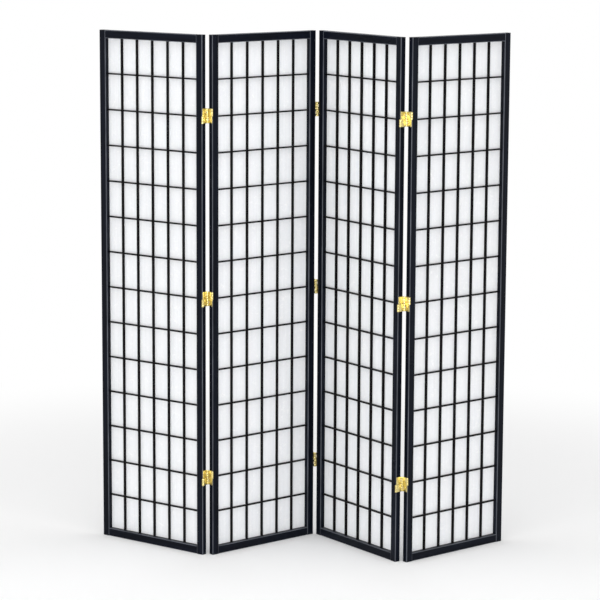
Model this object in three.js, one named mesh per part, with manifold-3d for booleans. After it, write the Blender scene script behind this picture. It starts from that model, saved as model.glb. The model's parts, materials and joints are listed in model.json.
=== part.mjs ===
// Four-panel shoji folding screen: lacquered wood frames, half-lapped lattice, rice paper,
// and double-acting hinges. Millimetres, +Z up, panel fronts towards -Y, standing on z = 0.
// The origin is on the floor, in the middle of the footprint of the screen as it stands.

import * as THREE from 'three';
import { mergeVertices } from 'three/addons/utils/BufferGeometryUtils.js';
import Module from 'manifold-3d';

const wasm = await Module();
wasm.setup();

// ---- Driving dimensions -------------------------------------------------------------------

const PANEL_WIDTH = 444;
const PANEL_HEIGHT = 1778;
const FRAME_THICKNESS = 20;
const STILE_WIDTH = 26;
const RAIL_HEIGHT = 28;
const ARRIS_RADIUS = 2.2;

const TENON_LENGTH = 16;
const TENON_THICKNESS = 7;
const TENON_SHOULDER = 5;

const STRUT_COUNT = 5;
const STRUT_WIDTH = 4.8;
const CROSSBAR_COUNT = 13;
const CROSSBAR_HEIGHT = 4.4;
const LATTICE_DEPTH = 9;
const LATTICE_SETBACK = 8;

const PAPER_THICKNESS = 0.5;
const REBATE_WIDTH = 5;

const HINGE_HEIGHT = 50;
const HINGE_END_DISTANCE = 270;
const LEAF_THICKNESS = 1.5;
const LEAF_EDGE_MARGIN = 1;
const LINK_THICKNESS = 1.6;
const BARREL_RADIUS = 3.8;
const BARREL_STAND_OFF = 3;
const PIN_RADIUS = 2;

const SEAT_GAP = 0.3;
const PIN_CLEARANCE = 0.25;
const LINK_SWING_CLEARANCE = 0.5;

// Direction of each panel seen from above, in degrees from the line of the whole screen.
const PANEL_HEADINGS = [-35.5, 39, -53, 39];

const BARREL_SIDES = 8;
const PIN_SIDES = 6;
const BORE_SIDES = 8;
const ARRIS_STEPS = 1;

// ---- Derived dimensions -------------------------------------------------------------------

const OPENING_WIDTH = PANEL_WIDTH - 2 * STILE_WIDTH;
const OPENING_HEIGHT = PANEL_HEIGHT - 2 * RAIL_HEIGHT;
const FRONT_Y = -FRAME_THICKNESS / 2;
const BACK_Y = FRAME_THICKNESS / 2;
const LATTICE_FRONT_Y = FRONT_Y + LATTICE_SETBACK;
const LATTICE_BACK_Y = LATTICE_FRONT_Y + LATTICE_DEPTH;

const HALF_GAP = BARREL_RADIUS + SEAT_GAP;
const AXIS_Y = FRAME_THICKNESS / 2 + BARREL_STAND_OFF;
const HALF_HINGE = HINGE_HEIGHT / 2;
const KNUCKLE_HEIGHT = (HALF_HINGE - 3 * SEAT_GAP) / 3;
const HINGE_HEIGHTS = {
  top: PANEL_HEIGHT - HINGE_END_DISTANCE,
  middle: PANEL_HEIGHT / 2,
  bottom: HINGE_END_DISTANCE,
};

// ---- Materials ----------------------------------------------------------------------------

const frameLacquer = new THREE.MeshStandardMaterial({ color: 0x15161c, roughness: 0.32, metalness: 0 });
const latticeLacquer = new THREE.MeshStandardMaterial({ color: 0x101014, roughness: 0.4, metalness: 0 });
const ricePaper = new THREE.MeshStandardMaterial({ color: 0xeef0f2, roughness: 0.85, metalness: 0 });
const hingeBrass = new THREE.MeshStandardMaterial({ color: 0xe3bf49, roughness: 0.25, metalness: 1 });

// ---- Solids -------------------------------------------------------------------------------

// Turns a closed geometry into a solid that can be joined and cut.
function solidOf(geometry) {
  const bare = geometry.index ? geometry.toNonIndexed() : geometry.clone();
  bare.deleteAttribute('normal');
  bare.deleteAttribute('uv');
  const merged = mergeVertices(bare, 1e-4);
  return new wasm.Manifold(new wasm.Mesh({
    numProp: 3,
    vertProperties: new Float32Array(merged.attributes.position.array),
    triVerts: new Uint32Array(merged.index.array),
  }));
}

function geometryOf(solid) {
  const { numProp, vertProperties, triVerts } = solid.getMesh();
  const positions = new Float32Array((vertProperties.length / numProp) * 3);
  for (let i = 0; i < positions.length / 3; i += 1) {
    positions.set(vertProperties.slice(i * numProp, i * numProp + 3), i * 3);
  }
  const geometry = new THREE.BufferGeometry();
  geometry.setAttribute('position', new THREE.BufferAttribute(positions, 3));
  geometry.setIndex(new THREE.BufferAttribute(new Uint32Array(triVerts), 1));
  geometry.computeVertexNormals();
  return geometry;
}

// A block between two corners.
function block(x0, x1, y0, y1, z0, z1) {
  const geometry = new THREE.BoxGeometry(x1 - x0, y1 - y0, z1 - z0);
  geometry.translate((x0 + x1) / 2, (y0 + y1) / 2, (z0 + z1) / 2);
  return solidOf(geometry);
}

// An upright round bar centred on (x, y).
function uprightBar(radius, sides, x, y, z0, z1) {
  const geometry = new THREE.CylinderGeometry(radius, radius, z1 - z0, sides);
  geometry.rotateX(Math.PI / 2);
  geometry.translate(x, y, (z0 + z1) / 2);
  return solidOf(geometry);
}

function join(solids) {
  return solids.reduce((whole, next) => whole.add(next));
}

function cut(solid, tools) {
  return tools.reduce((rest, tool) => rest.subtract(tool), solid);
}

// A rectangle with its four arrises eased to a small radius.
function easedRectangle(x0, x1, y0, y1, radius) {
  const shape = new THREE.Shape();
  shape.moveTo(x0 + radius, y0);
  shape.lineTo(x1 - radius, y0);
  shape.absarc(x1 - radius, y0 + radius, radius, -Math.PI / 2, 0);
  shape.lineTo(x1, y1 - radius);
  shape.absarc(x1 - radius, y1 - radius, radius, 0, Math.PI / 2);
  shape.lineTo(x0 + radius, y1);
  shape.absarc(x0 + radius, y1 - radius, radius, Math.PI / 2, Math.PI);
  shape.lineTo(x0, y0 + radius);
  shape.absarc(x0 + radius, y0 + radius, radius, Math.PI, 1.5 * Math.PI);
  return shape;
}

function extrude(shape, length) {
  return new THREE.ExtrudeGeometry(shape, {
    depth: length,
    bevelEnabled: false,
    curveSegments: ARRIS_STEPS,
  });
}

// ---- Frame --------------------------------------------------------------------------------

// The mortise that takes a rail's tenon, open towards the panel's opening.
function mortise(side, railBottom) {
  const inner = side === 'left' ? STILE_WIDTH : 0;
  const reach = TENON_LENGTH + SEAT_GAP;
  const x0 = side === 'left' ? inner - reach : inner - 1;
  const x1 = side === 'left' ? inner + 1 : inner + reach;
  return block(
    x0, x1,
    -TENON_THICKNESS / 2 - SEAT_GAP, TENON_THICKNESS / 2 + SEAT_GAP,
    railBottom + TENON_SHOULDER - SEAT_GAP, railBottom + RAIL_HEIGHT - TENON_SHOULDER + SEAT_GAP,
  );
}

// The stopped rebate behind the opening, where the paper's edge is glued.
function stileRebate(side) {
  const x0 = side === 'left' ? STILE_WIDTH - REBATE_WIDTH : -1;
  const x1 = side === 'left' ? STILE_WIDTH + 1 : REBATE_WIDTH;
  return block(
    x0, x1,
    LATTICE_BACK_Y, BACK_Y + 1,
    RAIL_HEIGHT - REBATE_WIDTH, PANEL_HEIGHT - RAIL_HEIGHT + REBATE_WIDTH,
  );
}

function stile(side) {
  const section = easedRectangle(0, STILE_WIDTH, FRONT_Y, BACK_Y, ARRIS_RADIUS);
  const bar = solidOf(extrude(section, PANEL_HEIGHT));
  return cut(bar, [
    mortise(side, 0),
    mortise(side, PANEL_HEIGHT - RAIL_HEIGHT),
    stileRebate(side),
  ]);
}

// A rail along x, between the stiles, with a stub tenon at each end and the paper's rebate.
function rail(isTop) {
  const length = OPENING_WIDTH - 2 * SEAT_GAP;
  const section = easedRectangle(FRONT_Y, BACK_Y, 0, RAIL_HEIGHT, ARRIS_RADIUS);
  const geometry = extrude(section, length);
  geometry.applyMatrix4(new THREE.Matrix4().makeBasis(
    new THREE.Vector3(0, 1, 0),
    new THREE.Vector3(0, 0, 1),
    new THREE.Vector3(1, 0, 0),
  ));
  geometry.translate(SEAT_GAP, 0, 0);
  const tenon = block(
    SEAT_GAP - TENON_LENGTH, length + SEAT_GAP + TENON_LENGTH,
    -TENON_THICKNESS / 2, TENON_THICKNESS / 2,
    TENON_SHOULDER, RAIL_HEIGHT - TENON_SHOULDER,
  );
  const rebate = block(
    -SEAT_GAP, OPENING_WIDTH + SEAT_GAP,
    LATTICE_BACK_Y, BACK_Y + 1,
    isTop ? -1 : RAIL_HEIGHT - REBATE_WIDTH,
    isTop ? REBATE_WIDTH : RAIL_HEIGHT + 1,
  );
  return cut(join([solidOf(geometry), tenon]), [rebate]);
}

// ---- Lattice and paper --------------------------------------------------------------------

// Starts of equal bars spread over a span so that all the clear spaces are equal.
function barStarts(span, count, width) {
  const space = (span - count * width) / (count + 1);
  return Array.from({ length: count }, (_, i) => space * (i + 1) + width * i);
}

// Struts and crossbars are half-lapped flush, so the finished grille is one solid.
function lattice() {
  const struts = barStarts(OPENING_WIDTH, STRUT_COUNT, STRUT_WIDTH).map((x) => block(
    x, x + STRUT_WIDTH,
    LATTICE_FRONT_Y, LATTICE_BACK_Y,
    SEAT_GAP, OPENING_HEIGHT - SEAT_GAP,
  ));
  const crossbars = barStarts(OPENING_HEIGHT, CROSSBAR_COUNT, CROSSBAR_HEIGHT).map((z) => block(
    SEAT_GAP, OPENING_WIDTH - SEAT_GAP,
    LATTICE_FRONT_Y, LATTICE_BACK_Y,
    z, z + CROSSBAR_HEIGHT,
  ));
  return join([...struts, ...crossbars]);
}

// The sheet lies on the rebate's shoulder, against the back of the lattice.
function paper() {
  const overlap = REBATE_WIDTH - SEAT_GAP;
  const front = LATTICE_BACK_Y + SEAT_GAP;
  return block(
    -overlap, OPENING_WIDTH + overlap,
    front, front + PAPER_THICKNESS,
    -overlap, OPENING_HEIGHT + overlap,
  );
}

// ---- Hinges -------------------------------------------------------------------------------
// A hinge is drawn as it is when its two panels are in one line: x runs across the gap, y from
// front to back, and z = 0 is its mid-height. Side -1 is the left panel, side 1 the right one.
// Upper half: left leaf at the back pin, right leaf at the front pin. Lower half: the reverse.

const KNUCKLE_LEVELS = [0, 1, 2].map((i) => SEAT_GAP + i * (KNUCKLE_HEIGHT + SEAT_GAP));

// The two levels of one knuckle, with half 1 above mid-height and half -1 below it.
function knuckleSpan(half, index) {
  const low = KNUCKLE_LEVELS[index];
  const ends = [half * low, half * (low + KNUCKLE_HEIGHT)];
  return [Math.min(...ends), Math.max(...ends)];
}

// Two knuckles and the pin riveted between them, with ears that reach back to the leaf's plate.
function leafBarrel(side, half, end) {
  const y = end * AXIS_Y;
  const plateEdge = end * (FRAME_THICKNESS / 2 - LEAF_EDGE_MARGIN - 1);
  const outer = side * BARREL_RADIUS;
  const inner = side * (BARREL_RADIUS - LEAF_THICKNESS);
  const solids = [];
  [0, 2].forEach((index) => {
    const [z0, z1] = knuckleSpan(half, index);
    solids.push(uprightBar(BARREL_RADIUS, BARREL_SIDES, 0, y, z0, z1));
    solids.push(block(
      Math.min(outer, inner), Math.max(outer, inner),
      Math.min(plateEdge, y), Math.max(plateEdge, y),
      z0, z1,
    ));
  });
  const [pinLow, pinHigh] = knuckleSpan(half, 1);
  solids.push(uprightBar(PIN_RADIUS, PIN_SIDES, 0, y, pinLow - 1, pinHigh + 1));
  return join(solids);
}

// One leaf: a plate on the stile's edge, with a barrel in each half.
function leaf(side) {
  const outer = side * BARREL_RADIUS;
  const inner = side * (BARREL_RADIUS - LEAF_THICKNESS);
  const reach = FRAME_THICKNESS / 2 - LEAF_EDGE_MARGIN;
  const plate = block(
    Math.min(outer, inner), Math.max(outer, inner),
    -reach, reach,
    -HALF_HINGE, HALF_HINGE,
  );
  const upper = leafBarrel(side, 1, -side);
  const lower = leafBarrel(side, -1, side);
  return join([plate, upper, lower]);
}

// One link: a plate across the panel's thickness, with a bored knuckle round a pin at each end.
function link(half) {
  const [z0, z1] = knuckleSpan(half, 1);
  const plateReach = AXIS_Y - BARREL_RADIUS - LINK_SWING_CLEARANCE;
  const ends = [half * SEAT_GAP, half * HALF_HINGE];
  const t = LINK_THICKNESS / 2;
  const plate = block(-t, t, -plateReach, plateReach, Math.min(...ends), Math.max(...ends));
  const neck = block(-t, t, -AXIS_Y, AXIS_Y, z0, z1);
  const knuckles = [-1, 1].map((end) => uprightBar(BARREL_RADIUS, BARREL_SIDES, 0, end * AXIS_Y, z0, z1));
  const bores = [-1, 1].map((end) => uprightBar(
    PIN_RADIUS + PIN_CLEARANCE, BORE_SIDES, 0, end * AXIS_Y, z0 - 1, z1 + 1,
  ));
  return cut(join([plate, neck, ...knuckles]), bores);
}

// ---- Assembly -----------------------------------------------------------------------------

function named(name, solid, material, x = 0, y = 0, z = 0) {
  const mesh = new THREE.Mesh(geometryOf(solid), material);
  mesh.name = name;
  mesh.position.set(x, y, z);
  return mesh;
}

// One panel, with its left edge at x = 0 and the middle of its thickness at y = 0.
function panel(number) {
  const group = new THREE.Group();
  const name = `panel_${number}`;
  const farStile = PANEL_WIDTH - STILE_WIDTH;
  const topRail = PANEL_HEIGHT - RAIL_HEIGHT;
  group.add(named(`${name}_left_stile`, stile('left'), frameLacquer));
  group.add(named(`${name}_right_stile`, stile('right'), frameLacquer, farStile));
  group.add(named(`${name}_top_rail`, rail(true), frameLacquer, STILE_WIDTH, 0, topRail));
  group.add(named(`${name}_bottom_rail`, rail(false), frameLacquer, STILE_WIDTH));
  group.add(named(`${name}_lattice`, lattice(), latticeLacquer, STILE_WIDTH, 0, RAIL_HEIGHT));
  group.add(named(`${name}_paper`, paper(), ricePaper, STILE_WIDTH, 0, RAIL_HEIGHT));
  return group;
}

// Odd junctions fold back to back about the back pins, even ones front to front.
function foldsBackToBack(junction) {
  return junction % 2 === 1;
}

// The link in the upper half stays with the right panel in a back-to-back fold.
function addHinges(leftPanel, rightPanel, junction) {
  const backToBack = foldsBackToBack(junction);
  const leftX = PANEL_WIDTH + HALF_GAP;
  const rightX = -HALF_GAP;
  Object.entries(HINGE_HEIGHTS).forEach(([place, z]) => {
    const name = `hinge_${junction}_${place}`;
    leftPanel.add(named(`${name}_left_leaf`, leaf(-1), hingeBrass, leftX, 0, z));
    rightPanel.add(named(`${name}_right_leaf`, leaf(1), hingeBrass, rightX, 0, z));
    const [upperCarrier, upperX] = backToBack ? [rightPanel, rightX] : [leftPanel, leftX];
    const [lowerCarrier, lowerX] = backToBack ? [leftPanel, leftX] : [rightPanel, rightX];
    upperCarrier.add(named(`${name}_upper_link`, link(1), hingeBrass, upperX, 0, z));
    lowerCarrier.add(named(`${name}_lower_link`, link(-1), hingeBrass, lowerX, 0, z));
  });
}

// A point of a panel's plan, given along its width and from front to back.
function planPoint(origin, heading, along, back) {
  return new THREE.Vector2(along, back).rotateAround(new THREE.Vector2(), heading).add(origin);
}

// Places the panels one after the other, each turned about the pins that its junction folds on.
function placePanels(panels) {
  const headings = PANEL_HEADINGS.map(THREE.MathUtils.degToRad);
  let origin = new THREE.Vector2(0, 0);
  panels.forEach((group, i) => {
    if (i > 0) {
      const pinY = foldsBackToBack(i) ? AXIS_Y : -AXIS_Y;
      const pin = planPoint(origin, headings[i - 1], PANEL_WIDTH + HALF_GAP, pinY);
      origin = planPoint(pin, headings[i], HALF_GAP, -pinY);
    }
    group.position.set(origin.x, origin.y, 0);
    group.rotation.z = headings[i];
  });
}

const screen = new THREE.Group();
const panels = PANEL_HEADINGS.map((_, i) => panel(i + 1));
panels.forEach((group) => screen.add(group));
for (let junction = 1; junction < panels.length; junction += 1) {
  addHinges(panels[junction - 1], panels[junction], junction);
}
placePanels(panels);

screen.updateMatrixWorld(true);
const footprint = new THREE.Box3().setFromObject(screen, true).getCenter(new THREE.Vector3());
screen.position.set(-footprint.x, -footprint.y, 0);

export default screen;
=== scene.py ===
"""Looks of a four-panel shoji folding screen: black lacquered frames and lattice, rice paper,
and rolled brass double-acting hinges with their pins and wood screws, on a white studio floor."""

import json
import math

import bpy
import numpy as np
from mathutils import Matrix, Vector


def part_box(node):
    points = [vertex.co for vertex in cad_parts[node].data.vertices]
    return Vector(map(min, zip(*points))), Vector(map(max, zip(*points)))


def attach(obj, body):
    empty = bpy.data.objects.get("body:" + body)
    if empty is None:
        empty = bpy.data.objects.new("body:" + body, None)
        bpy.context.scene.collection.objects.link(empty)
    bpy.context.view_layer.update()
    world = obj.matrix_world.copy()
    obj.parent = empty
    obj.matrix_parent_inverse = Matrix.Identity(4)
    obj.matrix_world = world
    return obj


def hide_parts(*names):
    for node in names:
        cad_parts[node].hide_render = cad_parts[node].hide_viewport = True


bl_info = {
    "name": "Shoji Folding Screen",
    "version": (1, 0, 0),
    "blender": (4, 5, 0),
    "location": "View3D > Sidebar > Shoji Screen",
    "description": "Finishes, rolled hinges and studio for a four-panel shoji folding screen",
    "category": "Object",
}

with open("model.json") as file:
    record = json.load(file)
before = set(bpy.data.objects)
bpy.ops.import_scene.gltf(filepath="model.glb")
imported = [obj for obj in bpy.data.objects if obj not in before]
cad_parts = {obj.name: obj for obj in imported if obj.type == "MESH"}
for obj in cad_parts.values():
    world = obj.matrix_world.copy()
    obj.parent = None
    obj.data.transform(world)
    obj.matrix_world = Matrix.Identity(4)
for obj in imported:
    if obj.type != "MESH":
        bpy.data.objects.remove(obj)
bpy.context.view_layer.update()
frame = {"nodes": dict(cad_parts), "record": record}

MM = 0.001
QUARTER_TURN = math.pi / 2
FULL_TURN = 2 * math.pi

PANELS = (1, 2, 3, 4)
JUNCTIONS = (1, 2, 3)
PLACES = ("top", "middle", "bottom")
SIDES = ((-1, "left"), (1, "right"))
HALVES = ((1, "upper"), (-1, "lower"))

# Brass sheet: the easing of its rims, and the corner radii of its plates.
RIM_EASE = 0.25 * MM
LEAF_CORNER = 1.2 * MM
LINK_CORNER = 1.0 * MM
NECK_CORNER = 0.4 * MM

# A leaf's knuckle starts inside the plate and rolls on until it nearly meets the plate again.
# It is a little thinner than the plate, so that their faces don't lie in one plane.
ROLL_OVERLAP = 1.5 * MM
ROLL_THINNING = 0.04 * MM
ROLL_TURN = math.radians(322)
ROLL_NOSE = 0.8

# A link's neck runs into its knuckles, and is a little smaller than they and the plate are.
NECK_OVERLAP = 0.8 * MM
NECK_INSET = 0.05 * MM
NECK_THINNING = 0.02 * MM

# The rounded end of a riveted pin: its height, and the share of the radius left at its tip.
RIVET_RISE = 0.7 * MM
RIVET_TIP = 0.02

# Cross-head screw: the dome's rise, the recess's depth, the half width of its arms and their
# reach as a share of the head's radius, and how far the rim goes down into the plate.
SCREW_DOME = 0.42 * MM
SCREW_RECESS = 0.75 * MM
SCREW_ARM = 0.42 * MM
SCREW_ARM_REACH = 0.66
SCREW_SINK = 0.4 * MM

# The turn about y that lays an upright bar's length along the grain's axis, and the two kinds of
# lacquered wood: size of the pores in metres, wear of the edges, and strength of the shine.
UPRIGHT = (0, QUARTER_TURN, 0)
FRAME_WOOD = {"pore_width": 0.0011, "pore_length": 0.034, "wear": 0.12, "shine": 0.08}
LATTICE_WOOD = {"pore_width": 0.0007, "pore_length": 0.006, "wear": 0.08, "shine": 0.05}

# Shares of the lacquer's colour where it lies thick, where it lies thin, and down in the pores.
THICK_LACQUER, THIN_LACQUER, PORE_LACQUER = 0.62, 1.45, 0.3

# Paper: the lean, scale and half width of each lot of fibres, and the dull pulp's share of colour.
FIBRE_LOTS = ((0.35, 52.0, 0.011), (1.05, 64.0, 0.010), (1.9, 58.0, 0.011), (2.65, 74.0, 0.012))
DULL_PULP = 0.93

# Studio floor: radius and sides of the disc, and the distances between which it turns white.
FLOOR_RADIUS = 30.0
FLOOR_SIDES = 96
FLOOR_CLEAR, FLOOR_WHITE = 1.3, 3.0

# Each lamp's name, its width and height, where it hangs and where it aims.
LAMPS = (
    ("front", (4.4, 1.1), (0.0, -6.5, 0.7), (0, 0, 0.9)),
    ("side", (3.2, 3.2), (-3.4, -4.2, 3.6), (0, 0, 0.9)),
    ("top", (4.0, 3.0), (0, -0.6, 4.6), (0, 0, 0)),
)

# The camera that fits the corners of the screen in the photograph.
CAMERA_PLACE = (-0.0108, -8.0761, 2.270)
CAMERA_TILT = math.radians(90 - 9.26)
CAMERA_ROLL = math.radians(0.28)
CAMERA_SENSOR = 36
CAMERA_SHIFT = -0.04
CAMERA_REACH = 100


# ---- Sizes and colours ------------------------------------------------------------------------


class ShojiFinish(bpy.types.PropertyGroup):
    """Colours of the materials"""

    lacquer: bpy.props.FloatVectorProperty(
        name="Lacquer", description="Black lacquer of stiles and rails, faintly blue",
        subtype="COLOR", size=3, default=(0.0030, 0.0043, 0.0088), min=0, max=1)
    lattice_lacquer: bpy.props.FloatVectorProperty(
        name="Lattice lacquer", description="Black lacquer of the lattice, faintly brown",
        subtype="COLOR", size=3, default=(0.0030, 0.0022, 0.0024), min=0, max=1)
    # Painted highlight and real wear: this grey is both the lacquer rubbed thin on handled edges
    # and a painted reflection of the front lamp along the arrises.
    rubbed_and_highlight: bpy.props.FloatVectorProperty(
        name="Rubbed arris", description="Grey of the lacquer where the arrises are rubbed thin",
        subtype="COLOR", size=3, default=(0.46, 0.49, 0.56), min=0, max=1)
    paper: bpy.props.FloatVectorProperty(
        name="Rice paper", description="Body of the rice paper",
        subtype="COLOR", size=3, default=(0.86, 0.875, 0.90), min=0, max=1)
    fibre: bpy.props.FloatVectorProperty(
        name="Paper fibre", description="The long mulberry fibres in the paper",
        subtype="COLOR", size=3, default=(0.95, 0.955, 0.96), min=0, max=1)
    brass: bpy.props.FloatVectorProperty(
        name="Brass", description="Polished yellow brass of the hinges",
        subtype="COLOR", size=3, default=(0.78, 0.67, 0.29), min=0, max=1)
    tarnish: bpy.props.FloatVectorProperty(
        name="Tarnish", description="Darker brass in the folds and under old lacquer",
        subtype="COLOR", size=3, default=(0.38, 0.27, 0.07), min=0, max=1)


class ShojiHinge(bpy.types.PropertyGroup):
    """Sizes of the hinges and of the stiles that they join"""

    stile_width: bpy.props.FloatProperty(
        name="Stile width", description="Width of a stile's face",
        subtype="DISTANCE", unit="LENGTH", default=26 * MM)
    half_gap: bpy.props.FloatProperty(
        name="Half gap", description="Half the gap between two panels in one line",
        subtype="DISTANCE", unit="LENGTH", default=4.1 * MM)
    axis_y: bpy.props.FloatProperty(
        name="Pin line",
        description="Distance of a pin line from the middle of the panel's thickness",
        subtype="DISTANCE", unit="LENGTH", default=13 * MM)
    plate_reach: bpy.props.FloatProperty(
        name="Leaf reach", description="Half the width of a leaf's plate across the stile's edge",
        subtype="DISTANCE", unit="LENGTH", default=9 * MM)
    half_height: bpy.props.FloatProperty(
        name="Half height", description="Half the height of a hinge",
        subtype="DISTANCE", unit="LENGTH", default=25 * MM)
    barrel: bpy.props.FloatProperty(
        name="Barrel radius", description="Outside radius of the rolled knuckles",
        subtype="DISTANCE", unit="LENGTH", default=3.8 * MM)
    sheet: bpy.props.FloatProperty(
        name="Sheet", description="Thickness of the leaf's brass sheet",
        subtype="DISTANCE", unit="LENGTH", default=1.5 * MM)
    link_sheet: bpy.props.FloatProperty(
        name="Link sheet", description="Thickness of the link's brass sheet",
        subtype="DISTANCE", unit="LENGTH", default=1.6 * MM)
    pin: bpy.props.FloatProperty(
        name="Pin radius", description="Radius of the riveted pins",
        subtype="DISTANCE", unit="LENGTH", default=2.15 * MM)
    play: bpy.props.FloatProperty(
        name="Play", description="Clear height between neighbouring knuckles",
        subtype="DISTANCE", unit="LENGTH", default=0.3 * MM)
    swing: bpy.props.FloatProperty(
        name="Swing", description="Clear space between the link's plate and the barrels it passes",
        subtype="DISTANCE", unit="LENGTH", default=0.5 * MM)
    screw: bpy.props.FloatProperty(
        name="Screw head radius", description="Radius of a countersunk screw head",
        subtype="DISTANCE", unit="LENGTH", default=3.1 * MM)


class ShojiStudio(bpy.types.PropertyGroup):
    """Lens and light of the studio"""

    lens: bpy.props.FloatProperty(
        name="Lens", description="Focal length of the studio camera",
        subtype="DISTANCE_CAMERA", unit="CAMERA", default=144.0)
    sky: bpy.props.FloatProperty(
        name="Sky", description="Strength of the even studio light", default=0.61, min=0)
    front: bpy.props.FloatProperty(
        name="Front lamp",
        description="Power of the low wide lamp in front, which the arrises mirror",
        subtype="POWER", unit="POWER", default=178.0, min=0)
    side: bpy.props.FloatProperty(
        name="Side lamp", description="Power of the large soft lamp at the front left",
        subtype="POWER", unit="POWER", default=14.0, min=0)
    top: bpy.props.FloatProperty(
        name="Top lamp", description="Power of the wide soft lamp over the screen",
        subtype="POWER", unit="POWER", default=92.0, min=0)


# ---- Surfaces ---------------------------------------------------------------------------------
# A shape is a pair: its points as an array, and its faces as lists of point numbers.


def grid_faces(rows, columns, wrap_rows=False):
    """Quads of a grid whose columns wrap round, and its rows too if asked. The point at a row
    and a column has the number row * columns + column."""
    r = np.arange(rows if wrap_rows else rows - 1)[:, None]
    c = np.arange(columns)[None, :]
    r2, c2 = (r + 1) % rows, (c + 1) % columns
    corners = ((r, c), (r, c2), (r2, c2), (r2, c))
    return np.stack([row * columns + column for row, column in corners], -1).reshape(-1, 4)


def rounded_outline(a0, a1, b0, b1, radius, steps=4):
    """Rounded rectangle, counter-clockwise: at each corner the point is the corner's centre plus
    radius times (cos t, sin t), with t over a quarter turn. Gives points and outward normals."""
    t = np.linspace(0, QUARTER_TURN, steps + 1)
    turns = np.concatenate([t + k * QUARTER_TURN for k in range(4)])
    centres = np.array([(a1 - radius, b1 - radius), (a0 + radius, b1 - radius),
                        (a0 + radius, b0 + radius), (a1 - radius, b0 + radius)])
    normals = np.stack([np.cos(turns), np.sin(turns)], -1)
    return centres.repeat(steps + 1, 0) + radius * normals, normals


def carried(points, normals, low, high, ease):
    """A closed outline carried from height low to high. Near each rim it is drawn in along its
    own normals by ease * (1 - sin s) at a distance of ease * (1 - cos s) from the end, with s
    over a quarter turn, so both rims are rounded."""
    s = np.linspace(0, QUARTER_TURN, 4)
    inset = ease * (1 - np.sin(s))
    rise = ease * (1 - np.cos(s))
    insets = np.concatenate([inset, inset[::-1]])
    heights = np.concatenate([low + rise, high - rise[::-1]])
    ring = points[None] - insets[:, None, None] * normals[None]
    z = np.broadcast_to(heights[:, None, None], ring.shape[:2] + (1,))
    verts = np.concatenate([ring, z], -1).reshape(-1, 3)
    n, m = len(points), len(heights)
    faces = grid_faces(m, n).tolist()
    faces.append(list(range(n))[::-1])
    faces.append(list(range((m - 1) * n, m * n)))
    return verts, faces


def turned(radii, heights, segments):
    """Solid of revolution (r cos t, r sin t, z) about z, closed at both ends on the axis."""
    t = np.linspace(0, FULL_TURN, segments, endpoint=False)
    r, z = np.asarray(radii, float)[:, None], np.asarray(heights, float)[:, None]
    body = np.stack([r * np.cos(t), r * np.sin(t), z + 0 * t], -1).reshape(-1, 3)
    verts = np.concatenate([body, [(0, 0, heights[0]), (0, 0, heights[-1])]])
    low, high = len(body), len(body) + 1
    here = np.arange(segments)
    after = (here + 1) % segments
    top = (len(radii) - 1) * segments
    faces = grid_faces(len(radii), segments).tolist()
    faces += np.stack([after, here, np.full(segments, low)], -1).tolist()
    faces += np.stack([top + here, top + after, np.full(segments, high)], -1).tolist()
    return verts, faces


def ring_knuckle(inner, outer, low, high, ease, segments=40):
    """Bored knuckle: a rounded rectangle in the plane of radius and height, turned about z."""
    section, _ = rounded_outline(inner, outer, low, high, ease, 3)
    t = np.linspace(0, FULL_TURN, segments, endpoint=False)[:, None]
    r, z = section[:, 0][None], section[:, 1][None]
    verts = np.stack([r * np.cos(t), r * np.sin(t), z + 0 * t], -1).reshape(-1, 3)
    return verts, grid_faces(segments, len(section), wrap_rows=True)[:, ::-1].tolist()


def rolled_knuckle(outer, sheet, root, turn, low, high, ease, steps=44):
    """Sheet rolled round a pin on the z axis. Its middle line runs straight up y from (m, root)
    to (m, 0), then round the arc m * (cos t, sin t) for the given turn, with m half a sheet
    inside the outer radius. The outline is that line moved half a sheet to each side, with a
    blunt nose at its free end, and it is carried from height low to high."""
    half = sheet / 2
    m = outer - half
    t = np.linspace(0, turn, steps)
    line = np.concatenate([[(m, root)], m * np.stack([np.cos(t), np.sin(t)], -1)])
    side = np.concatenate([[(1.0, 0.0)], np.stack([np.cos(t), np.sin(t)], -1)])
    out, back = line + half * side, line - half * side
    end = np.array([(-math.sin(turn), math.cos(turn))])
    nose = line[-1:] + half * ROLL_NOSE * end
    points = np.concatenate([out, nose, back[::-1]])
    normals = np.concatenate([side, end, -side[::-1]])
    return carried(points, normals, low, high, ease)


def riveted_pin(radius, low, high):
    """A pin about z with rounded ends: its radius goes as sin s while it rises from the end by
    RIVET_RISE * (1 - cos s), with s over a quarter turn."""
    s = np.linspace(0, QUARTER_TURN, 6)
    spread = radius * np.maximum(np.sin(s), RIVET_TIP)
    rise = RIVET_RISE * (1 - np.cos(s))
    radii = np.concatenate([spread, spread[::-1]])
    heights = np.concatenate([low + rise, high - rise[::-1]])
    return turned(radii, heights, 28)


def along_x(shape):
    """Turns a shape that was carried up z so that it runs along x: (a, b, c) goes to (c, a, b)."""
    verts, faces = shape
    return verts[:, [2, 0, 1]], faces


def moved(shape, x=0.0, y=0.0, z=0.0, flip_x=False, flip_y=False):
    """Mirrors a shape in x or y as asked, and shifts it; one mirror alone turns its faces over."""
    verts, faces = shape
    verts = verts * (-1 if flip_x else 1, -1 if flip_y else 1, 1) + (x, y, z)
    if flip_x != flip_y:
        faces = [f[::-1] for f in faces]
    return verts, faces


def together(shapes):
    """Several closed shapes as one."""
    verts, faces, start = [], [], 0
    for points, polygons in shapes:
        verts.append(points)
        faces += [[i + start for i in polygon] for polygon in polygons]
        start += len(points)
    return np.concatenate(verts), faces


def make_piece(name, shape, material, smooth_angle=35):
    """A mesh object from points in the row frame, smooth except at edges over smooth_angle."""
    verts, faces = shape
    mesh = bpy.data.meshes.new(name)
    mesh.from_pydata([tuple(v) for v in verts.tolist()], [], faces)
    mesh.validate()
    mesh.materials.append(material)
    mesh.shade_smooth()
    mesh.set_sharp_from_angle(angle=math.radians(smooth_angle))
    piece = bpy.data.objects.new(name, mesh)
    bpy.context.scene.collection.objects.link(piece)
    return piece


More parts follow.
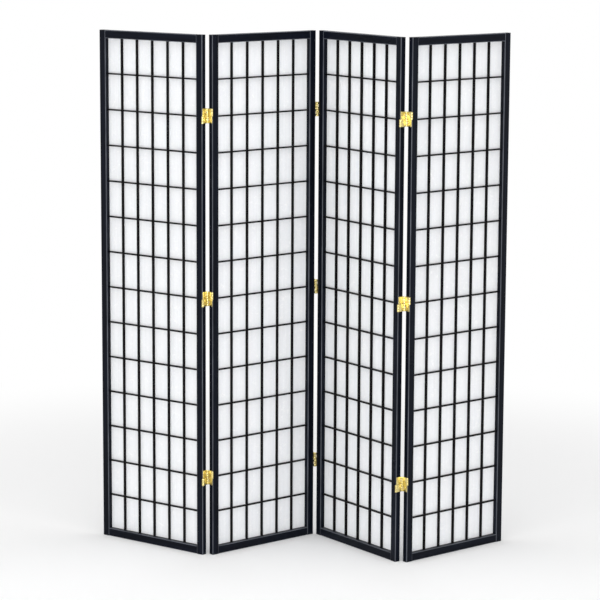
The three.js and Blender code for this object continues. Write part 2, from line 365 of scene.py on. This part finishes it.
# ---- Where the panels and hinges stand --------------------------------------------------------


def panel_place(number, stile_width):
    """The foot of a panel's left edge on the floor, at the middle of its thickness, with the
    panel's heading and width. The two stiles are alike, so the line between the middles of
    their boxes runs along the panel."""
    low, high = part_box(f"panel_{number}_left_stile")
    left = (low + high) / 2
    low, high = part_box(f"panel_{number}_right_stile")
    along = (low + high) / 2 - left
    along.z = 0
    heading = math.atan2(along.y, along.x)
    origin = left - Vector((math.cos(heading), math.sin(heading), 0)) * (stile_width / 2)
    return Vector((origin.x, origin.y, 0)), heading, along.length + stile_width


def hinge_place(panel, at_right_end, height, sizes):
    """The matrix from a hinge's own axes to the row frame. In its own axes a hinge is open flat,
    with x across the gap from its middle, y to the back, and z from its mid-height."""
    origin, heading, width = panel_place(panel, sizes.stile_width)
    x = width + sizes.half_gap if at_right_end else -sizes.half_gap
    stand = Matrix.Translation(origin) @ Matrix.Rotation(heading, 4, "Z")
    return stand @ Matrix.Translation((x, 0, height))


def placed(shape, matrix):
    """A shape with its points brought through a matrix."""
    verts, faces = shape
    m = np.array(matrix)
    return verts @ m[:3, :3].T + m[:3, 3], faces


def hinge_sites():
    """Each hinge's name, its junction and the height of its middle."""
    for junction in JUNCTIONS:
        for place in PLACES:
            name = f"hinge_{junction}_{place}"
            low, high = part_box(f"{name}_left_leaf")
            yield name, junction, (low.z + high.z) / 2


# ---- Hinge pieces -----------------------------------------------------------------------------


def knuckle_span(half, index, sizes):
    """Levels of one of a half's three equal knuckles, which share the half with three plays."""
    height = (sizes.half_height - 3 * sizes.play) / 3
    low = sizes.play + index * (height + sizes.play)
    return sorted((half * low, half * (low + height)))


def leaf_shape(side, sizes):
    """A leaf, with its hinge open flat: plate, four rolled knuckles and two riveted pins. It is
    drawn for the right side and mirrored in x for the left. The right leaf's upper pin is in
    front of the panels and its lower pin behind them; the left leaf's are the other way round."""
    reach, tall, outer = sizes.plate_reach, sizes.half_height, sizes.barrel
    outline = rounded_outline(-reach, reach, -tall, tall, LEAF_CORNER)
    shapes = [along_x(carried(*outline, outer - sizes.sheet, outer, RIM_EASE))]
    root = -(sizes.axis_y - reach + ROLL_OVERLAP)
    for half, _ in HALVES:
        end = -side * half
        spans = [knuckle_span(half, index, sizes) for index in (0, 2)]
        for low, high in spans:
            roll = rolled_knuckle(outer, sizes.sheet - ROLL_THINNING, root, ROLL_TURN,
                                  low, high, RIM_EASE)
            shapes.append(moved(roll, y=end * sizes.axis_y, flip_y=end < 0))
        levels = spans[0] + spans[1]
        pin = riveted_pin(sizes.pin, min(levels), max(levels))
        shapes.append(moved(pin, y=end * sizes.axis_y))
    return moved(together(shapes), flip_x=side < 0)


def link_shape(half, sizes):
    """A link: a plate across the gap's middle, and a neck that carries a bored knuckle round a
    pin at each end."""
    thick = sizes.link_sheet / 2
    reach = sizes.axis_y - sizes.barrel - sizes.swing
    ends = sorted((half * sizes.play, half * sizes.half_height))
    outline = rounded_outline(-reach, reach, *ends, LINK_CORNER)
    plate = along_x(carried(*outline, -thick, thick, RIM_EASE))
    low, high = knuckle_span(half, 1, sizes)
    reach = sizes.axis_y - sizes.barrel + NECK_OVERLAP
    outline = rounded_outline(-reach, reach, low + NECK_INSET, high - NECK_INSET, NECK_CORNER)
    thin = thick - NECK_THINNING
    neck = along_x(carried(*outline, -thin, thin, RIM_EASE))
    ring = ring_knuckle(sizes.barrel - sizes.sheet, sizes.barrel, low, high, RIM_EASE)
    return together([plate, neck] + [moved(ring, y=end * sizes.axis_y) for end in (1, -1)])


def screw_shape(side, half, sizes):
    """Head of a countersunk wood screw of radius R, on rings of radius r and turns t. Its height
    over the plate is a shallow dome, SCREW_DOME * (1 - (r/R)^2), less a cross recess,
    SCREW_RECESS * exp(-(a/SCREW_ARM)^4) * sqrt(1 - (r/(SCREW_ARM_REACH * R))^2), where a is the
    distance to the nearer arm of the cross. The root is 0 beyond the arms' reach."""
    rings, turns = 16, 48
    r = np.linspace(1, 0.03, rings)[:, None] * sizes.screw
    t = np.linspace(0, FULL_TURN, turns, endpoint=False)[None]
    u, v = r * np.cos(t), r * np.sin(t)
    dome = SCREW_DOME * (1 - (r / sizes.screw) ** 2)
    arm = np.minimum(np.abs(u), np.abs(v))
    fade = np.clip(1 - (r / (SCREW_ARM_REACH * sizes.screw)) ** 2, 0, None)
    recess = SCREW_RECESS * np.exp(-(arm / SCREW_ARM) ** 4) * np.sqrt(fade)
    rim = np.stack([u[0], v[0], np.full(turns, -SCREW_SINK)], -1)[None]
    head = np.concatenate([rim, np.stack([u, v, dome - recess], -1)])
    faces = grid_faces(rings + 1, turns).tolist()
    faces.append(list(range(turns))[::-1])
    faces.append(list(range(rings * turns, (rings + 1) * turns)))
    turn = math.radians(17 + 31 * (half + 1))
    spin = np.array([(math.cos(turn), -math.sin(turn), 0),
                     (math.sin(turn), math.cos(turn), 0),
                     (0, 0, 1)])
    verts = head.reshape(-1, 3) @ spin.T
    verts = np.stack([-verts[:, 2], verts[:, 0], -verts[:, 1]], -1)
    plate_face = sizes.barrel - sizes.sheet
    return moved((verts, faces), x=plate_face * side, z=half * sizes.half_height / 2,
                 flip_x=side < 0)


# ---- Nodes ------------------------------------------------------------------------------------


def new_group(name, inputs, outputs):
    """A shader node group with its named sockets, and the nodes that stand for its two ends."""
    group = bpy.data.node_groups.new(name, "ShaderNodeTree")
    for label, kind, default in inputs:
        socket = group.interface.new_socket(label, in_out="INPUT", socket_type=kind)
        if default is not None:
            socket.default_value = default
    for label, kind in outputs:
        group.interface.new_socket(label, in_out="OUTPUT", socket_type=kind)
    return group, group.nodes.new("NodeGroupInput"), group.nodes.new("NodeGroupOutput")


def feed(tree, socket, value):
    """Links an output to a socket, or gives the socket a plain value."""
    if isinstance(value, bpy.types.NodeSocket):
        tree.links.new(value, socket)
    else:
        socket.default_value = value


def add_node(tree, kind, inputs=None, **settings):
    """A node with its settings, then its inputs, each fed by an output or a plain value."""
    node = tree.nodes.new(kind)
    for key, value in settings.items():
        setattr(node, key, value)
    for key, value in (inputs or {}).items():
        feed(tree, node.inputs[key], value)
    return node


def add_group(tree, name, builder, inputs):
    """A use of a shared node group, which is built the first time that it is asked for."""
    group = bpy.data.node_groups.get(name) or builder()
    return add_node(tree, "ShaderNodeGroup", inputs, node_tree=group)


def fit_range(tree, value, low, high, to_low=0.0, to_high=1.0):
    """A value brought from one range into another and held inside it."""
    return add_node(tree, "ShaderNodeMapRange", {
        "Value": value, "From Min": low, "From Max": high,
        "To Min": to_low, "To Max": to_high}).outputs["Result"]


def mix_colours(tree, factor, first, second):
    """The first colour at factor 0, and the second at factor 1."""
    node = add_node(tree, "ShaderNodeMix", data_type="RGBA", blend_type="MIX")
    for index, value in ((0, factor), (6, first), (7, second)):
        feed(tree, node.inputs[index], value)
    return node.outputs[2]


def calculate(tree, operation, first, second=0.0):
    return add_node(tree, "ShaderNodeMath", {0: first, 1: second}, operation=operation).outputs[0]


def weigh(tree, *terms):
    """The sum of values, each times its share: terms are pairs of a value and a share."""
    total = None
    for value, share in terms:
        part = calculate(tree, "MULTIPLY", value, share)
        total = part if total is None else calculate(tree, "ADD", total, part)
    return total


def stretch(tree, where, scale):
    """A place with its three parts each times a scale."""
    return add_node(tree, "ShaderNodeVectorMath", {0: where, 1: scale},
                    operation="MULTIPLY").outputs[0]


def add_noise(tree, where, scale, detail=2.0, roughness=0.5, distortion=0.0):
    """Cloudy noise round 0.5."""
    return add_node(tree, "ShaderNodeTexNoise", {
        "Vector": where, "Scale": scale, "Detail": detail,
        "Roughness": roughness, "Distortion": distortion}).outputs["Fac"]


def add_bump(tree, shader, height, strength, distance, normal=None):
    """Gives a shader's surface a fine height, over an eased normal if there is one."""
    inputs = {"Height": height, "Strength": strength, "Distance": distance}
    if normal is not None:
        inputs["Normal"] = normal
    bump = add_node(tree, "ShaderNodeBump", inputs)
    tree.links.new(bump.outputs[0], shader.inputs["Normal"])


def ray_mask(tree, *kinds):
    """1 for a ray of any of the kinds, and 0 for others."""
    path = add_node(tree, "ShaderNodeLightPath")
    mask = path.outputs[kinds[0]]
    for kind in kinds[1:]:
        mask = calculate(tree, "MAXIMUM", mask, path.outputs[kind])
    return mask


def grain_group():
    """Open pores of the wood under thin lacquer: noise stretched along the first axis of the
    vector it is given, with a slow variation of tone and a height made from both."""
    group, given, result = new_group(
        "open_pore_grain",
        [("Vector", "NodeSocketVector", None), ("Pore width", "NodeSocketFloat", 0.0009),
         ("Pore length", "NodeSocketFloat", 0.03)],
        [("Pores", "NodeSocketFloat"), ("Tone", "NodeSocketFloat"), ("Height", "NodeSocketFloat")])
    across = calculate(group, "DIVIDE", 1.0, given.outputs["Pore width"])
    along = calculate(group, "DIVIDE", 1.0, given.outputs["Pore length"])
    scale = add_node(group, "ShaderNodeCombineXYZ", {0: along, 1: across, 2: across}).outputs[0]
    stretched = stretch(group, given.outputs["Vector"], scale)
    fine = add_noise(group, stretched, 1.0, detail=3.0, roughness=0.55)
    slow = add_noise(group, stretch(group, stretched, (0.11, 0.09, 0.09)), 1.0, distortion=0.6)
    pores = fit_range(group, fine, 0.56, 0.70)
    tone = fit_range(group, slow, 0.32, 0.68)
    height = weigh(group, (pores, -0.7), (tone, 0.3))
    group.links.new(pores, result.inputs["Pores"])
    group.links.new(tone, result.inputs["Tone"])
    group.links.new(height, result.inputs["Height"])
    return group


def wear_group():
    """Where an edge is handled: the normal eased round the edge leaves the face's own normal
    there, and a patchy noise breaks the band up. The eased normal comes out too."""
    group, given, result = new_group(
        "handled_edges",
        [("Vector", "NodeSocketVector", None), ("Patch scale", "NodeSocketFloat", 60.0),
         ("Patchiness", "NodeSocketFloat", 0.5), ("Radius", "NodeSocketFloat", 0.0012)],
        [("Edge", "NodeSocketFloat"), ("Normal", "NodeSocketVector")])
    eased = add_node(group, "ShaderNodeBevel", {"Radius": given.outputs["Radius"]},
                     samples=6).outputs[0]
    flat = add_node(group, "ShaderNodeNewGeometry").outputs["True Normal"]
    agree = add_node(group, "ShaderNodeVectorMath", {0: eased, 1: flat},
                     operation="DOT_PRODUCT").outputs["Value"]
    band = fit_range(group, agree, 0.995, 0.90)
    patches = add_noise(group, given.outputs["Vector"], given.outputs["Patch scale"], detail=4.0)
    patch = fit_range(group, patches, 0.35, 0.62)
    keep = calculate(group, "SUBTRACT", 1.0, given.outputs["Patchiness"])
    broken = calculate(group, "ADD", keep,
                       calculate(group, "MULTIPLY", patch, given.outputs["Patchiness"]))
    group.links.new(calculate(group, "MULTIPLY", band, broken), result.inputs["Edge"])
    group.links.new(eased, result.inputs["Normal"])
    return group


def arris_highlight_group():
    """The eased arrises of a squared bar, as the mask for the painted highlight that the frames
    get along them.
    The normal is brought into the bar's own axes by a turn about z: on a flat face its largest
    part is near 1, and on an arris it is well below."""
    group, given, result = new_group(
        "eased_arrises",
        [("Normal", "NodeSocketVector", None), ("Turn", "NodeSocketFloat", 0.0)],
        [("Arris", "NodeSocketFloat")])
    normal = add_node(group, "ShaderNodeVectorRotate",
                      {"Vector": given.outputs["Normal"], "Angle": given.outputs["Turn"]},
                      rotation_type="Z_AXIS").outputs[0]
    size = add_node(group, "ShaderNodeVectorMath", {0: normal}, operation="ABSOLUTE").outputs[0]
    x, y, z = add_node(group, "ShaderNodeSeparateXYZ", {0: size}).outputs[:3]
    largest = calculate(group, "MAXIMUM", calculate(group, "MAXIMUM", x, y), z)
    group.links.new(fit_range(group, largest, 0.97, 0.80), result.inputs["Arris"])
    return group


def smear_group():
    """Smears and dust on a smooth finish: cloudy noise, to be used as a change of roughness."""
    group, given, result = new_group(
        "smears",
        [("Vector", "NodeSocketVector", None), ("Size", "NodeSocketFloat", 9.0)],
        [("Smear", "NodeSocketFloat")])
    cloud = add_noise(group, given.outputs["Vector"], given.outputs["Size"], detail=5.0,
                      roughness=0.6, distortion=0.4)
    group.links.new(fit_range(group, cloud, 0.35, 0.68), result.inputs["Smear"])
    return group


# ---- Materials --------------------------------------------------------------------------------


def start_material(name):
    """A new material with its node tree, its shader, and the place on the object."""
    material = bpy.data.materials.new(name)
    material.use_nodes = True
    tree = material.node_tree
    where = tree.nodes.new("ShaderNodeTexCoord").outputs["Object"]
    return material, tree, tree.nodes["Principled BSDF"], where


def rgba(colour, share=1.0):
    return tuple(c * share for c in colour) + (1.0,)


def lacquer_material(name, colour, rubbed_and_highlight, turn, heading, pore_width, pore_length, wear, shine):
    """Black lacquer over open-pored wood, with a painted highlight along the eased arrises and a
    little real wear on handled edges. turn brings the bar's length onto the grain's axis, and
    heading is the panel's direction on the floor."""
    material, tree, shader, where = start_material(name)
    grain_at = add_node(tree, "ShaderNodeMapping", {"Vector": where, "Rotation": turn}).outputs[0]
    grain = add_group(tree, "open_pore_grain", grain_group, {
        "Vector": grain_at, "Pore width": pore_width, "Pore length": pore_length})
    edges = add_group(tree, "handled_edges", wear_group, {
        "Vector": where, "Patch scale": 22.0, "Patchiness": 0.55, "Radius": 0.0011})
    smears = add_group(tree, "smears", smear_group, {"Vector": where, "Size": 7.0})
    body = mix_colours(tree, grain.outputs["Tone"], rgba(colour, THICK_LACQUER),
                       rgba(colour, THIN_LACQUER))
    pored = mix_colours(tree, calculate(tree, "MULTIPLY", grain.outputs["Pores"], 0.6), body,
                        rgba(colour, PORE_LACQUER))
    normal = add_node(tree, "ShaderNodeTexCoord").outputs["Normal"]
    arris = add_group(tree, "eased_arrises", arris_highlight_group, {"Normal": normal, "Turn": -heading})
    # Painted highlight: every eased arris gets the light grey at a noisy strength, standing in for
    # the front lamp's reflection.
    thin = fit_range(tree, add_noise(tree, grain_at, 9.0, detail=3.0), 0.3, 0.7, 0.45, 0.95)
    light = calculate(tree, "MULTIPLY", arris.outputs["Arris"], thin)
    worn = calculate(tree, "MULTIPLY", edges.outputs["Edge"], wear)
    # The real wear on handled edges and the painted arris highlight share one grey, and the larger
    # of the two is used.
    tree.links.new(mix_colours(tree, calculate(tree, "MAXIMUM", worn, light), pored, rgba(rubbed_and_highlight)),
                   shader.inputs["Base Color"])
    rough = calculate(tree, "ADD", fit_range(tree, smears.outputs["Smear"], 0, 1, 0.26, 0.40),
                      calculate(tree, "MULTIPLY", grain.outputs["Pores"], 0.16))
    tree.links.new(rough, shader.inputs["Roughness"])
    add_bump(tree, shader, grain.outputs["Height"], 0.35, 0.0003, edges.outputs["Normal"])
    shader.inputs["Specular IOR Level"].default_value = shine
    return material


def paper_material(finish):
    """Rice paper: long mulberry fibres as thin lines where stretched noises pass a middle value,
    faint upright streaks of the mould, a cloudy pulp between them, and a faint tooth. The paper
    is thin enough for the light behind it to show the lattice."""
    material, tree, shader, where = start_material("rice_paper")
    fibres = None
    for lean, scale, width in FIBRE_LOTS:
        along = add_node(tree, "ShaderNodeMapping", {
            "Vector": where, "Rotation": (0.0, lean, 0.0), "Scale": (1.0, 5.0, 5.0)},
            vector_type="TEXTURE").outputs[0]
        noise = add_noise(tree, along, scale, detail=1.5, roughness=0.4, distortion=0.5)
        off = calculate(tree, "ABSOLUTE", calculate(tree, "SUBTRACT", noise, 0.5))
        line = fit_range(tree, off, width, 0.0)
        fibres = line if fibres is None else calculate(tree, "MAXIMUM", fibres, line)
    gaps = fit_range(tree, add_noise(tree, where, 62.0), 0.47, 0.62)
    fibres = calculate(tree, "MULTIPLY", fibres, gaps)
    pulp = add_noise(tree, where, 160.0, detail=5.0, roughness=0.65)
    cloud = add_noise(tree, where, 5.0, detail=3.0)
    drawn = add_node(tree, "ShaderNodeMapping", {"Vector": where, "Scale": (1.0, 1.0, 24.0)},
                     vector_type="TEXTURE").outputs[0]
    streaks = add_noise(tree, drawn, 115.0)
    shade = fit_range(tree, weigh(tree, (pulp, 0.35), (cloud, 0.25), (streaks, 0.4)), 0.38, 0.62)
    body = mix_colours(tree, shade, rgba(finish.paper, DULL_PULP), rgba(finish.paper))
    tree.links.new(mix_colours(tree, calculate(tree, "MULTIPLY", fibres, 0.75), body,
                               rgba(finish.fibre)), shader.inputs["Base Color"])
    tree.links.new(fit_range(tree, fibres, 0, 1, 0.86, 0.62), shader.inputs["Roughness"])
    add_bump(tree, shader, weigh(tree, (fibres, 0.8), (pulp, 0.35)), 0.4, 0.0002)
    shader.inputs["Specular IOR Level"].default_value = 0.2
    shader.inputs["Sheen Weight"].default_value = 0.08
    shader.inputs["Subsurface Weight"].default_value = 0.6
    shader.inputs["Subsurface Radius"].default_value = (1.0, 0.97, 0.93)
    shader.inputs["Subsurface Scale"].default_value = 1.2 * MM
    return material


def brass_material(finish):
    """Polished brass sheet: fine rolling marks, cloudy tarnish, and bright rubbed edges."""
    material, tree, shader, where = start_material("polished_brass")
    edges = add_group(tree, "handled_edges", wear_group, {
        "Vector": where, "Patch scale": 300.0, "Patchiness": 0.4, "Radius": 0.0004})
    smears = add_group(tree, "smears", smear_group, {"Vector": where, "Size": 120.0})
    drawn = add_node(tree, "ShaderNodeMapping", {
        "Vector": where, "Scale": (2600.0, 2600.0, 60.0)}).outputs[0]
    marks = add_noise(tree, drawn, 1.0)
    dull = calculate(tree, "MULTIPLY", smears.outputs["Smear"], 0.5)
    body = mix_colours(tree, dull, rgba(finish.brass), rgba(finish.tarnish))
    bright = rgba([min(1.0, c * 1.1 + 0.04) for c in finish.brass])
    tree.links.new(mix_colours(tree, edges.outputs["Edge"], body, bright),
                   shader.inputs["Base Color"])
    rough = calculate(tree, "ADD", fit_range(tree, smears.outputs["Smear"], 0, 1, 0.17, 0.34),
                      fit_range(tree, marks, 0.3, 0.7, 0.0, 0.08))
    tree.links.new(rough, shader.inputs["Roughness"])
    add_bump(tree, shader, marks, 0.12, 0.00005, edges.outputs["Normal"])
    shader.inputs["Metallic"].default_value = 1.0
    return material


def floor_material():
    """Pale floor that keeps the shadow near the screen and passes into plain white further out,
    where only the camera and glossy rays meet it as white."""
    material, tree, shader, where = start_material("studio_floor")
    shader.inputs["Base Color"].default_value = (0.97, 0.97, 0.97, 1)
    shader.inputs["Roughness"].default_value = 0.9
    shader.inputs["Specular IOR Level"].default_value = 0.0
    white = add_node(tree, "ShaderNodeEmission", {"Color": (1, 1, 1, 1), "Strength": 1.0})
    distance = add_node(tree, "ShaderNodeVectorMath", {0: where},
                        operation="LENGTH").outputs["Value"]
    fade = add_node(tree, "ShaderNodeMapRange", {
        "Value": distance, "From Min": FLOOR_CLEAR, "From Max": FLOOR_WHITE},
        interpolation_type="SMOOTHSTEP").outputs["Result"]
    seen = ray_mask(tree, "Is Camera Ray", "Is Glossy Ray")
    mix = add_node(tree, "ShaderNodeMixShader", {
        0: calculate(tree, "MULTIPLY", fade, seen), 1: shader.outputs[0], 2: white.outputs[0]})
    tree.links.new(mix.outputs[0], tree.nodes["Material Output"].inputs["Surface"])
    return material


def studio_world(strength):
    """Even light from all round, which camera, transmission and glossy rays see as white."""
    world = bpy.data.worlds.new("studio")
    world.use_nodes = True
    tree = world.node_tree
    light = tree.nodes["Background"]
    light.inputs["Color"].default_value = (1, 1, 1, 1)
    light.inputs["Strength"].default_value = strength
    white = add_node(tree, "ShaderNodeBackground", {"Color": (1, 1, 1, 1), "Strength": 1.0})
    seen = ray_mask(tree, "Is Camera Ray", "Is Transmission Ray", "Is Glossy Ray")
    mix = add_node(tree, "ShaderNodeMixShader", {0: seen, 1: light.outputs[0],
                                                 2: white.outputs[0]})
    tree.links.new(mix.outputs[0], tree.nodes["World Output"].inputs["Surface"])
    return world


# ---- Operators --------------------------------------------------------------------------------


def finish_node(name, material):
    """Gives a frame node's own mesh a material in every slot."""
    mesh = frame["nodes"][name].data
    if not mesh.materials:
        mesh.materials.append(material)
    for index in range(len(mesh.materials)):
        mesh.materials[index] = material


def fit_to_panel(name, shape, panel, at_right_end, height, context, replaced=None):
    """Makes a brass piece that was drawn in its hinge's own axes, stands it at one end of a
    panel, and lets the panel carry it. It takes the place of a plain node if one is named."""
    material = bpy.data.materials.get("polished_brass")
    material = material or brass_material(context.scene.shoji_finish)
    matrix = hinge_place(panel, at_right_end, height, context.scene.shoji_hinge)
    piece = make_piece(name, placed(shape, matrix), material)
    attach(piece, f"panel_{panel}")
    if replaced:
        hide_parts(replaced)


class LacquerFrames(bpy.types.Operator):
    """Finish every stile and rail with black lacquer whose grain runs along the bar"""

    bl_idname = "shoji.lacquer_frames"
    bl_label = "Lacquer the frames"

    def execute(self, context):
        finish, sizes = context.scene.shoji_finish, context.scene.shoji_hinge
        for number in PANELS:
            _, heading, _ = panel_place(number, sizes.stile_width)
            upright = lacquer_material(f"stile_lacquer_{number}", finish.lacquer, finish.rubbed_and_highlight,
                                       UPRIGHT, heading, **FRAME_WOOD)
            level = lacquer_material(f"rail_lacquer_{number}", finish.lacquer, finish.rubbed_and_highlight,
                                     (0, 0, -heading), heading, **FRAME_WOOD)
            for side in ("left", "right"):
                finish_node(f"panel_{number}_{side}_stile", upright)
            for end in ("top", "bottom"):
                finish_node(f"panel_{number}_{end}_rail", level)
        return {"FINISHED"}


class LacquerLattice(bpy.types.Operator):
    """Finish the lattice of every panel with black lacquer"""

    bl_idname = "shoji.lacquer_lattice"
    bl_label = "Lacquer the lattice"

    def execute(self, context):
        finish, sizes = context.scene.shoji_finish, context.scene.shoji_hinge
        for number in PANELS:
            _, heading, _ = panel_place(number, sizes.stile_width)
            material = lacquer_material(f"lattice_lacquer_{number}", finish.lattice_lacquer,
                                        finish.rubbed_and_highlight, UPRIGHT, heading, **LATTICE_WOOD)
            finish_node(f"panel_{number}_lattice", material)
        return {"FINISHED"}


class LayPaper(bpy.types.Operator):
    """Finish the sheet of rice paper behind every lattice"""

    bl_idname = "shoji.lay_paper"
    bl_label = "Lay the rice paper"

    def execute(self, context):
        material = paper_material(context.scene.shoji_finish)
        for number in PANELS:
            finish_node(f"panel_{number}_paper", material)
        return {"FINISHED"}


class RollLeaves(bpy.types.Operator):
    """Make the leaves of every hinge from rolled brass sheet, with their riveted pins"""

    bl_idname = "shoji.roll_leaves"
    bl_label = "Roll the hinge leaves"

    def execute(self, context):
        sizes = context.scene.shoji_hinge
        for name, junction, height in hinge_sites():
            for side, word in SIDES:
                left = side < 0
                node = f"{name}_{word}_leaf"
                fit_to_panel(f"{node}_rolled", leaf_shape(side, sizes),
                             junction if left else junction + 1, left, height, context, node)
        return {"FINISHED"}


class RollLinks(bpy.types.Operator):
    """Make the upper and lower links that join the two leaves of every hinge"""

    bl_idname = "shoji.roll_links"
    bl_label = "Roll the hinge links"

    def execute(self, context):
        sizes = context.scene.shoji_hinge
        carriers = frame["record"]["behaviour"]["bodies"]
        for name, junction, height in hinge_sites():
            for half, word in HALVES:
                node = f"{name}_{word}_link"
                left = node in carriers[f"panel_{junction}"]
                fit_to_panel(f"{node}_rolled", link_shape(half, sizes),
                             junction if left else junction + 1, left, height, context, node)
        return {"FINISHED"}


class DriveScrews(bpy.types.Operator):
    """Put the two countersunk wood screws into each hinge leaf"""

    bl_idname = "shoji.drive_screws"
    bl_label = "Drive the screws"

    def execute(self, context):
        sizes = context.scene.shoji_hinge
        for name, junction, height in hinge_sites():
            for side, word in SIDES:
                left = side < 0
                heads = together([screw_shape(side, half, sizes) for half, _ in HALVES])
                fit_to_panel(f"{name}_{word}_screws", heads,
                             junction if left else junction + 1, left, height, context)
        return {"FINISHED"}


def soft_lamp(name, power, size, place, aim):
    """A rectangular lamp that hangs in one place and points at another."""
    data = bpy.data.lights.new(name, "AREA")
    data.shape = "RECTANGLE"
    data.size, data.size_y = size
    data.energy = power
    lamp = bpy.data.objects.new(name, data)
    lamp.location = place
    lamp.rotation_euler = (Vector(aim) - Vector(place)).to_track_quat("-Z", "Y").to_euler()
    bpy.context.scene.collection.objects.link(lamp)


class SetStage(bpy.types.Operator):
    """Lay the studio floor, hang the lamps and stand the camera where the photograph was taken"""

    bl_idname = "shoji.set_stage"
    bl_label = "Set the stage"

    def execute(self, context):
        studio = context.scene.shoji_studio
        t = np.linspace(0, FULL_TURN, FLOOR_SIDES, endpoint=False)
        ring = np.stack([FLOOR_RADIUS * np.cos(t), FLOOR_RADIUS * np.sin(t), 0 * t], -1)
        floor = make_piece("floor", (ring, [list(range(FLOOR_SIDES))]), floor_material())
        context.scene.world = studio_world(studio.sky)
        for name, size, place, aim in LAMPS:
            soft_lamp(f"{name}_lamp", getattr(studio, name), size, place, aim)
        data = bpy.data.cameras.new("studio_camera")
        data.lens = studio.lens
        data.sensor_width = CAMERA_SENSOR
        data.shift_y = CAMERA_SHIFT
        data.clip_end = CAMERA_REACH
        camera = bpy.data.objects.new("studio_camera", data)
        turn = Matrix.Rotation(CAMERA_TILT, 4, "X") @ Matrix.Rotation(CAMERA_ROLL, 4, "Z")
        camera.matrix_world = Matrix.Translation(CAMERA_PLACE) @ turn
        context.scene.collection.objects.link(camera)
        context.scene.camera = camera
        context.scene.view_settings.view_transform = "Standard"
        return {"FINISHED"}


class ShojiPanel(bpy.types.Panel):
    """The steps as buttons, and the sizes and colours that they use"""

    bl_idname = "VIEW3D_PT_shoji_screen"
    bl_label = "Shoji Screen"
    bl_space_type = "VIEW_3D"
    bl_region_type = "UI"
    bl_category = "Shoji Screen"

    def draw(self, context):
        column = self.layout.column()
        for operator in OPERATORS:
            column.operator(operator.bl_idname)
        scene = context.scene
        for group in (scene.shoji_finish, scene.shoji_hinge, scene.shoji_studio):
            box = self.layout.box()
            for name in group.bl_rna.properties.keys():
                if name not in ("rna_type", "name"):
                    box.prop(group, name)


OPERATORS = (LacquerFrames, LacquerLattice, LayPaper, RollLeaves, RollLinks, DriveScrews, SetStage)
GROUPS = (ShojiFinish, ShojiHinge, ShojiStudio)


def register():
    for cls in GROUPS + OPERATORS + (ShojiPanel,):
        bpy.utils.register_class(cls)
    bpy.types.Scene.shoji_finish = bpy.props.PointerProperty(type=ShojiFinish)
    bpy.types.Scene.shoji_hinge = bpy.props.PointerProperty(type=ShojiHinge)
    bpy.types.Scene.shoji_studio = bpy.props.PointerProperty(type=ShojiStudio)


def unregister():
    del bpy.types.Scene.shoji_finish
    del bpy.types.Scene.shoji_hinge
    del bpy.types.Scene.shoji_studio
    for cls in reversed(GROUPS + OPERATORS + (ShojiPanel,)):
        bpy.utils.unregister_class(cls)


def main():
    register()
    bpy.ops.shoji.lacquer_frames()
    bpy.ops.shoji.lacquer_lattice()
    bpy.ops.shoji.lay_paper()
    bpy.ops.shoji.roll_leaves()
    bpy.ops.shoji.roll_links()
    bpy.ops.shoji.drive_screws()
    bpy.ops.shoji.set_stage()


if __name__ == "__main__":
    main()
